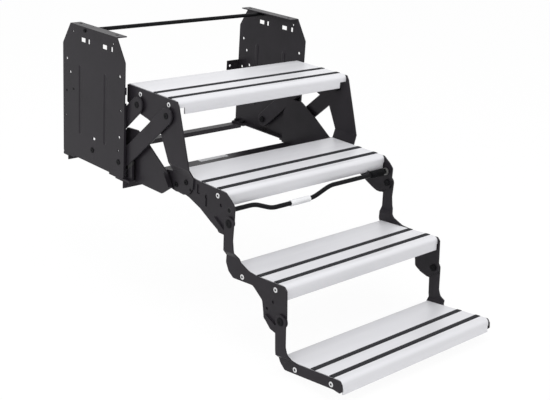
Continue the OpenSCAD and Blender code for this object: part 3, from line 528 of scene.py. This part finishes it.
def grid_faces(rows, columns, ring=False):
    """Quads between rows of points that close on themselves: point (row, column) is number
    row * columns + column. A ring's last row meets its first, and others get end caps."""
    row = np.arange(rows if ring else rows - 1)[:, None]
    column = np.arange(columns)[None, :]
    after = (column + 1) % columns
    below = (row + 1) % rows
    corners = [row * columns + column, row * columns + after, below * columns + after,
               below * columns + column]
    faces = np.stack(corners, axis=-1).reshape(-1, 4).tolist()
    if not ring:
        faces.append(list(range(columns)))
        faces.append([(rows - 1) * columns + k for k in range(columns)])
    return faces


def turned(profile, centre, along="x", side=1, steps=48, ring=False):
    """Points and faces of a profile [(along, radius, hexagonal)] turned about an axis, in mm."""
    profile = np.asarray(profile, dtype=float)
    angle = np.arange(steps) * 2 * np.pi / steps
    from_flat = (angle + np.pi / 6) % (np.pi / 3) - np.pi / 6
    radius = profile[:, 1:2] / np.where(profile[:, 2:3] > 0, np.cos(from_flat), 1.0)
    distance = np.broadcast_to(profile[:, 0:1], radius.shape)
    shape = np.stack([side * distance, radius * np.cos(angle), radius * np.sin(angle)], axis=-1)
    points = shape.reshape(-1, 3)[:, AXES[along]] * MM + np.asarray(centre)
    return points, grid_faces(len(profile), steps, ring)


def joined(parts):
    """Several (points, faces) pairs as one pair: each part's indices move up by the count."""
    points, faces, count = [], [], 0
    for part_points, part_faces in parts:
        points.append(part_points)
        faces.extend([[index + count for index in face] for face in part_faces])
        count += len(part_points)
    return np.concatenate(points), faces


def dress(node, parts):
    """One piece of several (points, faces) pairs that stands for a node, in its slot."""
    points, faces = joined(parts)
    make_piece(node + "_dressed", points, faces, SLOT_OF[node], BODY_OF[node], (node,))


print(len(turned([(0, 3, 0), (5, 3, 0)], (0, 0, 0))[0]), "points in a plain turned pin")

# %% [markdown]
# The end screws are bright button heads with a hexagon socket. The head sits in a counterbore
# and stands out a little. Its dome is a few rings that fall away towards the rim, and the
# socket goes down to a small drill point. A dark plug closes each socket just under the rim,
# as a small closed hexagon: it is painted shade, standing in for the shade deep in a socket.

# %% Tread screws
SOCKET = 2.9
SOCKET_DEPTH = 1.9
SOCKET_SHADE = 0.5
PLUG_GAP = 0.03
SCREW_R = 3.0
HEAD_R = 7.0
HEAD_SEAT = 2.4


def screw_profile(length):
    """Shank, seat, domed rim and hexagon socket, measured outward from the shank's tip in mm."""
    top = length
    return [(0, SCREW_R - 0.6, 0), (0.8, SCREW_R, 0), (top - HEAD_SEAT, SCREW_R, 0),
            (top - HEAD_SEAT, HEAD_R, 0), (top - 1.1, HEAD_R, 0),
            (top - 0.65, HEAD_R - 0.3, 0), (top - 0.3, 6.0, 0), (top - 0.1, 5.4, 0),
            (top, 4.6, 0), (top, 4.0, 0), (top - 0.15, 3.6, 0), (top - 0.3, SOCKET, 1),
            (top - SOCKET_DEPTH, SOCKET, 1), (top - 2.0, 1.6, 0), (top - 2.3, 0.2, 0)]


def along_x(box):
    """Middle of a part's axis at its inner end, its side (-1 left, 1 right), length in mm."""
    side = 1 if box[1][0] + box[0][0] > 0 else -1
    inner = box[0][0] if side > 0 else box[1][0]
    middle = (box[0] + box[1]) / 2
    return (inner, middle[1], middle[2]), side, (box[1][0] - box[0][0]) / MM


for node in ("first_tread_screws", "second_tread_screws", "third_tread_screws",
             "fourth_tread_screws"):
    screws, shade_plugs = [], []
    for box in boxes_of(node):
        centre, side, length = along_x(box)
        screws.append(turned(screw_profile(length), centre, side=side))
        # painted shade: a black closed hexagon just under the socket's rim stands in for the shade
        # inside it
        shade_plug = [(length - SOCKET_DEPTH, SOCKET - PLUG_GAP, 1),
                (length - SOCKET_SHADE, SOCKET - PLUG_GAP, 1)]
        shade_plugs.append(turned(shade_plug, centre, side=side))
    dress(node, screws)
    points, faces = joined(shade_plugs)
    make_piece(node + "_painted_socket_shade", points, faces, "black_steel", BODY_OF[node])
    print(node, len(screws), "screws")

# %% [markdown]
# The pivots are turned pins with a low flat head, coated black with the plates. A centre hole
# from the lathe stays in each head, and it is what shows as a dark dot from afar.

# %% Pivot pins


def pin_profile(length, shank, head, head_height, hole=2.2, tip=0.8):
    """A pin from its chamfered tip to a head with rounded rim and a centre hole, in mm."""
    top = length
    seat = length - head_height
    rim = min(0.5, head_height * 0.45)
    return [(0, shank - tip, 0), (tip, shank, 0), (seat, shank, 0), (seat, head, 0),
            (top - rim, head, 0), (top - rim * 0.35, head - rim * 0.45, 0),
            (top, head - rim * 1.3, 0), (top, hole + 0.5, 0), (top - 0.2, hole, 0),
            (top - head_height * 0.8, hole, 0), (top - head_height * 0.85, 0.3, 0)]


# node: shank radius, head radius, head height, radius of the centre hole
PINS = {
    "upper_pivot_bolts": (6.0, 8.5, 1.2, 2.6),
    "lower_pivot_bolts": (6.0, 7.5, 2.0, 1.6),
    "third_fold_pins": (6.0, 11.0, 0.9, 2.2),
    "fourth_fold_pins": (6.0, 11.0, 0.9, 2.2),
    "frame_bolts": (4.0, 7.0, 2.1, 2.4),
    "foot_screws": (3.0, 7.0, 2.1, 2.4),
    "tie_rod_screws": (2.5, 5.0, 3.0, 1.6),
}
for node, (shank, head, height, hole) in PINS.items():
    pins = []
    for box in boxes_of(node):
        centre, side, length = along_x(box)
        pins.append(turned(pin_profile(length, shank, head, height, hole), centre, side=side))
    dress(node, pins)
    print(node, len(pins), "pins")

# %% [markdown]
# Nuts are hexagons with both corners turned off, which gives the curved shoulder where the
# chamfer meets each flat. Washers, bushes, spacers and collars are rings with broken edges.

# %% Nuts and rings


def nut_profile(length, flats, bore):
    """A closed loop: bore, face, chamfer to the hexagon and back, in mm."""
    half = flats / 2
    return [(0.4, bore, 0), (0, bore + 0.4, 0), (0, half * 0.97, 0), (length * 0.16, half, 1),
            (length * 0.84, half, 1), (length, half * 0.97, 0), (length, bore + 0.4, 0),
            (length - 0.4, bore, 0)]


def ring_profile(length, outer, bore):
    """A closed loop round a ring with its outer edges broken, in mm."""
    chip = min(0.4, length * 0.3)
    return [(0, bore, 0), (0, outer - chip, 0), (chip, outer, 0), (length - chip, outer, 0),
            (length, outer - chip, 0), (length, bore, 0)]


# node: distance over the flats, bore radius
NUTS = {"lower_pivot_nuts": (18, 6), "upper_pivot_nuts": (18, 6), "third_fold_nuts": (18, 6),
        "fourth_fold_nuts": (18, 6), "frame_nuts": (13, 4)}
# node: outer radius, bore radius
RINGS = {"lower_pivot_spacers": (12, 6), "upper_pivot_washers": (12, 6),
         "third_fold_washers": (13, 6), "fourth_fold_washers": (13, 6),
         "bar_collars": (10, 6), "bar_bushes": (8, 6.05), "front_link_bushes": (8.05, 6.05),
         "rear_link_bushes": (8.05, 6.4)}
for node in (*NUTS, *RINGS):
    rounds = []
    for box in boxes_of(node):
        centre, side, length = along_x(box)
        profile = (nut_profile(length, *NUTS[node]) if node in NUTS
                   else ring_profile(length, *RINGS[node]))
        rounds.append(turned(profile, centre, side=side, ring=True))
    dress(node, rounds)
print(len(NUTS), "kinds of nut,", len(RINGS), "kinds of ring")

# %% [markdown]
# A few bolts don't lie across the step. The cross members hang on upright bolts with low round
# heads and a nut on top, and small rivets hold the guide plates from front to back. The same
# kind of profile serves, turned about another axis. The tie rod between the side plates' tops
# is a plain bar with broken ends.

# %% Upright bolts, rivets and the tie rod
BOLT_R = 4.0
BOLT_HEAD_R = 7.0
BOLT_HEAD = 1.5
BOLT_FLATS = 12.8
BREAK = 0.8
# a rivet's profile from its flat head at the rear to its domed one at the front, in mm
RIVET = [(0, 2.6, 0), (0.5, 3.2, 0), (3, 3.3, 0), (3, 2, 0), (9, 2, 0), (9, 3.3, 0),
         (10.6, 3.2, 0), (11.5, 2.5, 0), (11.8, 1.4, 0)]


def bolt_profile(length, shank, head, head_height):
    """A bolt from its low round head, at the bottom, to its chamfered tip, in mm."""
    return [(0, head - BREAK, 0), (0.5, head, 0), (head_height, head, 0),
            (head_height, shank, 0), (length - BREAK, shank, 0), (length, shank - BREAK, 0)]


def upright(box):
    """Middle of a part's lower end, and its height in mm."""
    middle = (box[0] + box[1]) / 2
    return (middle[0], middle[1], box[0][2]), (box[1][2] - box[0][2]) / MM


bolts, nuts, rivets = [], [], []
for box in boxes_of("cross_member_bolts"):
    centre, length = upright(box)
    bolts.append(turned(bolt_profile(length, BOLT_R, BOLT_HEAD_R, BOLT_HEAD), centre, "z"))
for box in boxes_of("cross_member_nuts"):
    centre, length = upright(box)
    nuts.append(turned(nut_profile(length, BOLT_FLATS, BOLT_R), centre, "z", ring=True))
for box in boxes_of("guide_plate_bolts"):
    middle = (box[0] + box[1]) / 2
    rivets.append(turned(RIVET, (middle[0], box[1][1], middle[2]), "y", side=-1))
low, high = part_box("top_tie_rod")
rod_l = (high.x - low.x) / MM
rod_r = (high.z - low.z) / 2 / MM
rod_profile = [(0, rod_r - BREAK, 0), (BREAK, rod_r, 0), (rod_l - BREAK, rod_r, 0),
               (rod_l, rod_r - BREAK, 0)]
rod = turned(rod_profile, (low.x, (low.y + high.y) / 2, (low.z + high.z) / 2))
for node, parts in (("cross_member_bolts", bolts), ("cross_member_nuts", nuts),
                    ("guide_plate_bolts", rivets), ("top_tie_rod", [rod])):
    dress(node, parts)
print(len(bolts), "upright bolts,", len(rivets), "rivets, a tie rod of", round(rod_l), "mm")

# %% [markdown]
# ## Treads
#
# Each tread is one aluminium extrusion, so its outline is the same all along: a rounded nose,
# two grooves for the grip strips and a deep front lip that stops short of both ends. The
# outline is an array of points, and the surface is that outline repeated along X. The first
# and last repeats are pulled in a little, which breaks the sawn ends.

# %% Tread outline
DEPTH = 205.0
THICK = 20.0
NOSE = 12.0
LIP = 37.0
LIP_T = 5.0
STRIP_MIDDLES = (111.0, 171.5)
STRIP_W = 16.0
GROOVE = 1.6
REAR_R = 2.0
GROOVE_EDGE = 0.4
FOOT_EDGE = 0.6
LIP_ROUND = 1.6
LIP_ARC = 1.58
LIP_SUNK = 1
LIP_SHY = 0.02


def arc(centre, radius, start, end, count):
    """Points on an arc from start to end degrees: centre plus radius times (cosine, sine)."""
    angle = np.radians(np.linspace(start, end, count))
    return np.stack([centre[0] + radius * np.cos(angle), centre[1] + radius * np.sin(angle)], 1)


def tread_outline():
    """Outline (out, up) from the rear bottom, over the top with its grooves, to the nose."""
    pieces = [arc((REAR_R, -THICK + REAR_R), REAR_R, 270, 180, 4),
              arc((REAR_R, -REAR_R), REAR_R, 180, 90, 4)]
    for middle in STRIP_MIDDLES:
        low, high = middle - STRIP_W / 2, middle + STRIP_W / 2
        pieces.append(np.array([(low - GROOVE_EDGE, 0), (low, -GROOVE_EDGE), (low, -GROOVE),
                                (high, -GROOVE), (high, -GROOVE_EDGE),
                                (high + GROOVE_EDGE, 0)]))
    pieces.append(arc((DEPTH - NOSE, -NOSE), NOSE, 90, 0, 14))
    pieces.append(np.array([(DEPTH, -THICK + FOOT_EDGE), (DEPTH - FOOT_EDGE, -THICK)]))
    return np.concatenate(pieces)


def lip_outline():
    """Outline (out, up) of the lip: two points inside the board and two quarter arcs below."""
    top = np.array([(DEPTH - LIP_T, -THICK + LIP_SUNK), (DEPTH - LIP_SHY, -THICK + LIP_SUNK)])
    front = arc((DEPTH - LIP_ROUND, -LIP + LIP_ROUND), LIP_ARC, 0, -90, 5)
    back = arc((DEPTH - LIP_T + LIP_ROUND, -LIP + LIP_ROUND), LIP_ARC, -90, -180, 5)
    return np.concatenate([top, front, back])


def extruded(profile, stations, pull):
    """A closed outline repeated at stations along X. The first and last are scaled about the
    outline's middle, so that they end pull mm inside it."""
    middle = (profile.min(axis=0) + profile.max(axis=0)) / 2
    half = (profile.max(axis=0) - profile.min(axis=0)) / 2
    rows = []
    for index, x in enumerate(stations):
        last = index in (0, len(stations) - 1)
        factor = (half - pull) / half if last else np.ones(2)
        ring_points = middle + (profile - middle) * factor
        rows.append(np.column_stack([np.full(len(profile), x), ring_points]))
    return np.concatenate(rows), grid_faces(len(stations), len(profile))


def broken_ends(half, width):
    """Stations from -half to half along X, with one more at width inside each end."""
    return [-half, -half + width, half - width, half]


print(len(tread_outline()), "points round the tread")

# %% [markdown]
# The four treads differ only in width, place, tilt and the length of their lips. The first
# lip stops short to clear the guide plates. The tilt is what folding leaves: the third tread
# sits five degrees nose up, and the fourth a little more.

# %% Treads
BOARD_BREAK = 0.4
LIP_BREAK = 0.6
# width, out and up from the first tread's rear top edge, tilt in degrees, gap at the lip's ends
TREADS = {
    "first_tread": (600.0, 0.0, 0.0, 0.0, 23.0),
    "second_tread": (567.0, 184.0, -187.0, 0.0, 3.0),
    "third_tread": (557.0, 401.6, -373.0, 5.0, 3.0),
    "fourth_tread": (547.0, 599.041, -543.841, 7.65, 3.0),
}
for node, (width, out_by, up_by, tilt, lip_gap) in TREADS.items():
    board = extruded(tread_outline(), broken_ends(width / 2, BOARD_BREAK), BOARD_BREAK)
    lip = extruded(lip_outline(), broken_ends(width / 2 - lip_gap, LIP_BREAK), LIP_BREAK)
    points, faces = joined([board, lip])
    points = placed(points, out_by, up_by, tilt)
    make_piece(node + "_dressed", points, faces, "tread_aluminium", BODY_OF[node], (node,))
    past = points[:, 0].max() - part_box(node)[1].x
    print(node, "ends", round(past / MM, 3), "mm past the solid")

# %% [markdown]
# The grip strips are grit on a backing, glued into the grooves. The grid here is fine enough
# to carry real grains: each inner point sinks by a seeded random depth, so the strip looks
# the same on every run.

# %% Grip strips
STRIP_UP = 1.0
STRIP_CROWN = 0.45
SIDE_GAP = 0.05
END_GAP = 0.2
ACROSS = 9
GRAIN_STEP = 1.6
GRAIN_HEIGHT = 0.35
rng = np.random.default_rng(4)


def strip(width, middle):
    """A strip along X: its height falls with the fourth power of the distance from its middle
    line, less a random depth for the grain, and two straight rows close it underneath."""
    count = int(width / GRAIN_STEP) + 1
    x = np.linspace(-width / 2, width / 2, count)
    across = np.linspace(-1, 1, ACROSS)
    top = STRIP_UP - STRIP_CROWN * np.abs(across) ** 4
    height = np.broadcast_to(top, (count, ACROSS)).copy()
    height[1:-1, 1:-1] -= rng.random((count - 2, ACROSS - 2)) * GRAIN_HEIGHT
    wide = middle + across * (STRIP_W / 2 - SIDE_GAP)
    grid = np.stack(np.broadcast_arrays(x[:, None], wide[None, :], height), axis=-1)
    under = wide[[-1, 0]][None, :]
    floor_line = np.stack(np.broadcast_arrays(x[:, None], under, -GROOVE), axis=-1)
    rings = np.concatenate([grid, floor_line], axis=1)
    return rings.reshape(-1, 3), grid_faces(count, rings.shape[1])


for node, (width, out_by, up_by, tilt, lip_gap) in TREADS.items():
    points, faces = joined([strip(width - 2 * END_GAP, middle) for middle in STRIP_MIDDLES])
    make_piece(node + "_strips_dressed", placed(points, out_by, up_by, tilt), faces,
               "grip_strip", BODY_OF[node], (node + "_strips",))
print("two strips on each tread")

# %% [markdown]
# ## Pull handle
#
# The handle is one steel bar bent at four places, with a sleeve where the hand goes. A tube
# follows the bar's middle line: the corners are replaced by arcs, and a circle is swept along
# the result. Its frame is simple here, because the whole line lies in one upright plane.

# %% Tubes along a path
BAR_R = 6.0
BEND_R = 90.0


def rounded_line(corners, radius, count=9):
    """A flat polyline with an arc at each inner corner. The arc's centre lies on the bisector,
    radius / sin(half the corner's angle) away, and it starts radius / tan(half) from the corner."""
    corners = np.asarray(corners, dtype=float)
    line = [corners[0]]
    for before, corner, after in zip(corners, corners[1:], corners[2:]):
        u = (before - corner) / np.linalg.norm(before - corner)
        v = (after - corner) / np.linalg.norm(after - corner)
        half = math.acos(float(np.clip(u @ v, -1, 1))) / 2
        reach = radius / math.tan(half)
        middle = corner + (u + v) / np.linalg.norm(u + v) * radius / math.sin(half)
        first, last = corner + u * reach - middle, corner + v * reach - middle
        share = np.linspace(0, 1, count)[:, None]
        between = first * (1 - share) + last * share
        line.extend(middle + between / np.linalg.norm(between, axis=1)[:, None] * radius)
    line.append(corners[-1])
    return np.array(line)


def tube(line, radius, steps=24):
    """A circle swept along a line in space. Each circle's side vector is the last one's, less
    its part along the line, so the tube doesn't twist."""
    line = np.asarray(line, dtype=float)
    forward = np.gradient(line, axis=0)
    forward /= np.linalg.norm(forward, axis=1)[:, None]
    side = np.cross(forward[0], [0.3, 0.2, 1.0])
    side /= np.linalg.norm(side)
    angle = np.arange(steps) * 2 * np.pi / steps
    rows = []
    for point, way in zip(line, forward):
        side = side - way * (side @ way)
        side /= np.linalg.norm(side)
        other = np.cross(way, side)
        circle = np.cos(angle)[:, None] * side + np.sin(angle)[:, None] * other
        rows.append(point + radius * circle)
    return np.concatenate(rows), grid_faces(len(rows), steps)


print("bar", 2 * BAR_R, "mm thick")

# %% [markdown]
# The bar's route runs straight through one bush, slopes down to the held part, and slopes up
# again to the other bush. The held part lies left of the middle and carries the sleeve.

# %% Bent bar
HANDLE = JOINTS["handle_turn"]["pos_m"]
BAR_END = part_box("pull_bar")[1].x / MM
HELD = (-145.0, 0.0)
SLOPE = 60.0
DIP = 22.0
route = [(-BAR_END, 0), (HELD[0] - SLOPE, 0), (HELD[0], -DIP), (HELD[1], -DIP),
         (HELD[1] + SLOPE, 0), (BAR_END, 0)]
flat_line = rounded_line(route, BEND_R)
line = np.column_stack([flat_line[:, 0], np.zeros(len(flat_line)), flat_line[:, 1]])
points, faces = tube(line, BAR_R)
dress("pull_bar", [(points * MM + np.array(HANDLE), faces)])
print("bar of", round(2 * BAR_END), "mm with bends of", BEND_R, "mm")

# %% [markdown]
# A return spring is wound round the bar near its right end. Its middle line is a helix: the
# angle grows evenly with the distance along X, and the radius stays the same. One leg rests
# against the tread's lip, and the other runs on to the collar.

# %% Return spring
WIRE_R = 1.5
COIL_R = 8.5
COIL_PITCH = 4.0
COIL_TURNS = 12
LEG = 12.7
LAST_LEG = (3.0, 8.7)
STEPS_A_TURN = 24
coil_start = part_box("bar_spring")[0].x / MM + WIRE_R
turn = np.linspace(0, COIL_TURNS, COIL_TURNS * STEPS_A_TURN + 1)
helix = np.column_stack([coil_start + COIL_PITCH * turn, -COIL_R * np.sin(2 * np.pi * turn),
                         COIL_R * np.cos(2 * np.pi * turn)])
coil_end = coil_start + COIL_PITCH * COIL_TURNS
first_leg = [(coil_start, LEG, COIL_R), (coil_start, LEG / 2, COIL_R)]
last_leg = [(coil_end + reach, -WIRE_R, COIL_R) for reach in LAST_LEG]
points, faces = tube(np.vstack([first_leg, helix, last_leg]), WIRE_R, 10)
dress("bar_spring", [(points * MM + np.array(HANDLE), faces)])
print("spring of", COIL_TURNS, "turns, starting at", round(coil_start, 1))

# %% [markdown]
# The sleeve is a soft plastic tube pushed over the bar. It has a rounded lip at both ends and
# shallow rings for the fingers, so its profile is a cosine wave on a cylinder.

# %% Sleeve
RING_COUNT = 12
RING_DEPTH = 0.16
RING_SINK = 0.30
PLAIN_END = 1.5
SLEEVE_BORE = BAR_R + 0.05
low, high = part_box("bar_grip")
sleeve_r = (high.z - low.z) / 2 / MM
sleeve_l = (high.x - low.x) / MM
along = np.linspace(PLAIN_END, sleeve_l - PLAIN_END, 90)
phase = (along - PLAIN_END) / (sleeve_l - 2 * PLAIN_END) * 2 * np.pi * RING_COUNT
wave = sleeve_r - RING_SINK - RING_DEPTH * np.cos(phase)
profile = [(0, SLEEVE_BORE, 0), (0, sleeve_r - 1.2, 0), (0.5, sleeve_r - 0.4, 0)]
profile += [(x, r, 0) for x, r in zip(along, wave)]
profile += [(sleeve_l - 0.5, sleeve_r - 0.4, 0), (sleeve_l, sleeve_r - 1.2, 0),
            (sleeve_l, SLEEVE_BORE, 0)]
centre = (low.x, (low.y + high.y) / 2, (low.z + high.z) / 2)
dress("bar_grip", [turned(profile, centre, ring=True)])
print("sleeve", round(sleeve_l), "mm long")

# %% [markdown]
# A blank label sticks on the front cross member's web. It is a thin, pale sheet with a broken
# edge, three tenths of a millimetre thick.

# %% Blank label
LABEL_X = (-42.0, 60.0)
LABEL_OUT = (-26.5, -9.5)
LABEL_T = 0.3
LABEL_EDGE = 0.1
WEB_DROP = 5.0
web_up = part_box("front_cross_member")[1].z / MM - UP_OFFSET - WEB_DROP
sheet_outline = np.array([(LABEL_OUT[0], web_up), (LABEL_OUT[1], web_up),
                          (LABEL_OUT[1], web_up + LABEL_T), (LABEL_OUT[0], web_up + LABEL_T)])
stations = [LABEL_X[0], LABEL_X[0] + LABEL_EDGE, LABEL_X[1] - LABEL_EDGE, LABEL_X[1]]
points, faces = extruded(sheet_outline, stations, LABEL_EDGE)
make_piece("blank_label", placed(points), faces, "grey_grip", BODY_OF["front_cross_member"])
print("label", LABEL_X[1] - LABEL_X[0], "mm long")
